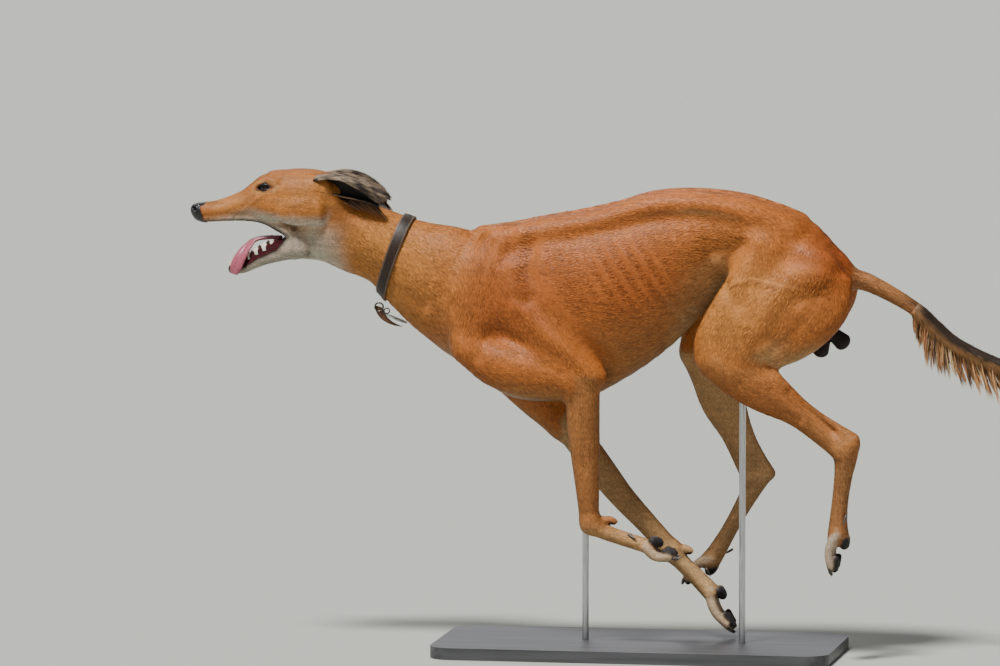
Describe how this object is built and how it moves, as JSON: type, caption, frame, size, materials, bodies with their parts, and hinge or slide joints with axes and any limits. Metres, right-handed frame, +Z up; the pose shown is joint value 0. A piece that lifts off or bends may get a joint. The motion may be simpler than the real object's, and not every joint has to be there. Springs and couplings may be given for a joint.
{
  "type": "running sighthound museum model",
  "caption": "Life-size still model of a lean red-fawn sighthound at the gallop, mouth open, tail fringed, wearing a leather collar, held over a flat display base by rods.",
  "frame": {"origin": "centre of the underside of the display base", "axes": "+Z up, -X toward the dog's nose, -Y toward the dog's left side"},
  "size_m": [1.607, 0.3, 0.8017],
  "materials": {
    "coat": "short smooth red-fawn coat, matt with a soft sheen",
    "coat_head": "very short smooth fawn coat, paler on the lips and cheeks",
    "coat_leg": "short smooth sandy coat, paler toward the feet",
    "jaw": "grey-white short coat with dark lip and gum",
    "ear": "thin leaf with brindled dark hair and a short fringe",
    "tail_fringe": "dark short hair over the tail with a longer golden fringe below",
    "nose": "moist black nose leather",
    "tongue": "moist pink tongue",
    "eye": "dark brown glass eye",
    "scrotum": "bare dark skin",
    "collar_leather": "dark brown leather with stitched edges",
    "tab_leather": "tan leather tab",
    "ring_metal": "dulled nickel rings",
    "tag_plastic": "pale green flat tag",
    "stand_plate": "satin off-white painted plate",
    "stand_metal": "brushed steel rods"
  },
  "bodies": {
    "root": {"head": "coat_head", "nose": "nose", "lower_jaw": "jaw", "tongue": "tongue", "left_eye": "eye", "right_eye": "eye", "left_ear": "ear", "right_ear": "ear", "neck": "coat", "torso": "coat", "left_forearm": "coat_leg", "right_forearm": "coat_leg", "left_forepaw": "coat_leg", "right_forepaw": "coat_leg", "left_thigh": "coat", "right_thigh": "coat", "left_shank": "coat_leg", "right_shank": "coat_leg", "left_hindpaw": "coat_leg", "right_hindpaw": "coat_leg", "scrotum": "scrotum", "tail_root": "coat", "tail_middle": "tail_fringe", "tail_tip": "tail_fringe", "collar": "collar_leather", "collar_ring": "ring_metal", "collar_tab": "tab_leather", "tag_ring": "ring_metal", "tag": "tag_plastic", "stand_base": "stand_plate", "stand_rod_front": "stand_metal", "stand_rod_rear": "stand_metal"}
  },
  "joints": []
}
